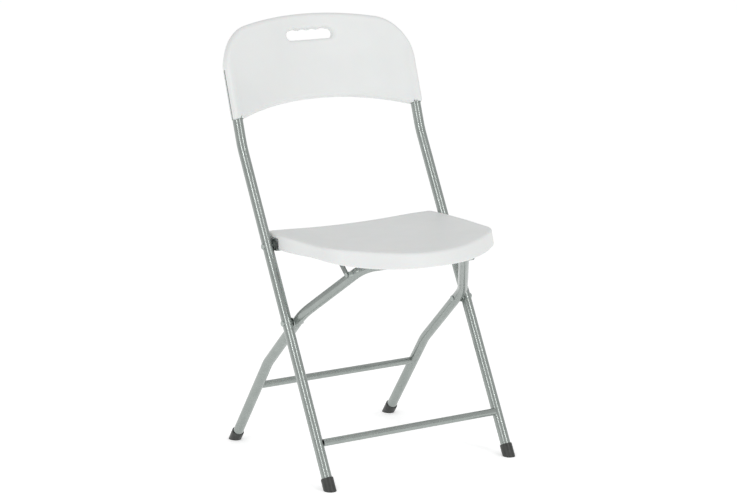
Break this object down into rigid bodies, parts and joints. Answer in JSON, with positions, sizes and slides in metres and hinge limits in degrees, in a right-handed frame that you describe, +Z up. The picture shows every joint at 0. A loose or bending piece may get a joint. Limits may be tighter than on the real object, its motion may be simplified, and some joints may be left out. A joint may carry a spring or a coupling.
{
  "type": "folding chair",
  "caption": "Folding chair with crossing steel-tube leg frames, a dished plastic seat that tips up and a curved plastic backrest with a hand hole.",
  "frame": {"origin": "on the floor, under the middle of the chair's overall box", "axes": "+Z up, +X to one side, the sitter faces -Y"},
  "size_m": [0.432, 0.4909, 0.8339],
  "materials": {
    "powder_coated_steel": "gloss powder coat",
    "white_plastic": "fine moulded satin",
    "black_rubber": "matt",
    "zinc_bracket": "powder coat",
    "zinc_screw": "zinc plated",
    "steel_rivet": "painted steel"
  },
  "bodies": {
    "long_frame": {"long_tube_left": "powder_coated_steel", "long_tube_right": "powder_coated_steel", "front_crossbar": "powder_coated_steel", "backrest": "white_plastic", "backrest_screws_left": "zinc_screw", "backrest_screws_right": "zinc_screw", "front_foot_cap_left": "black_rubber", "front_foot_cap_right": "black_rubber", "cross_rivet_left": "steel_rivet", "cross_rivet_right": "steel_rivet", "cross_spacer_left": "steel_rivet", "cross_spacer_right": "steel_rivet", "seat_rivet_left": "steel_rivet", "seat_rivet_right": "steel_rivet", "seat_washer_left": "steel_rivet", "seat_washer_right": "steel_rivet"},
    "rear_frame": {"rear_leg_tube": "powder_coated_steel", "rear_crossbar": "powder_coated_steel", "rear_foot_cap_left": "black_rubber", "rear_foot_cap_right": "black_rubber", "leg_rivet_left": "steel_rivet", "leg_rivet_right": "steel_rivet", "leg_sleeve_left": "steel_rivet", "leg_sleeve_right": "steel_rivet"},
    "seat": {"seat": "white_plastic", "seat_hinge_bracket_left": "zinc_bracket", "seat_hinge_bracket_right": "zinc_bracket", "seat_hinge_screws_left": "zinc_screw", "seat_hinge_screws_right": "zinc_screw", "link_bracket_left": "zinc_bracket", "link_bracket_right": "zinc_bracket", "link_bracket_screws_left": "zinc_screw", "link_bracket_screws_right": "zinc_screw", "link_rivet_left": "steel_rivet", "link_rivet_right": "steel_rivet"},
    "link_left": {"fold_link_left": "zinc_bracket", "link_stud_left": "steel_rivet"},
    "link_right": {"fold_link_right": "zinc_bracket", "link_stud_right": "steel_rivet"}
  },
  "joints": [
    {"name": "rear_leg_fold", "type": "hinge", "parent": "long_frame", "child": "rear_frame", "pos_m": [0, -0.03642, 0.2887], "axis": [-1, 0, 0], "range_deg": [0, 66]},
    {"name": "seat_fold", "type": "hinge", "parent": "long_frame", "child": "seat", "pos_m": [0, 0.03344, 0.424], "axis": [-1, 0, 0], "range_deg": [0, 108]},
    {"name": "link_left_swing", "type": "hinge", "parent": "seat", "child": "link_left", "pos_m": [-0.1426, -0.05936, 0.4145], "axis": [1, 0, 0], "range_deg": [0, 159.92]},
    {"name": "link_right_swing", "type": "hinge", "parent": "seat", "child": "link_right", "pos_m": [0.1426, -0.05936, 0.4145], "axis": [1, 0, 0], "range_deg": [0, 159.92]}
  ],
  "couplings": [
    {"joint": "seat_fold", "follows": "rear_leg_fold", "ratio": 1.6364},
    {"joint": "link_left_swing", "follows": "rear_leg_fold", "ratio": 2.4228},
    {"joint": "link_right_swing", "follows": "rear_leg_fold", "ratio": 2.4228}
  ]
}
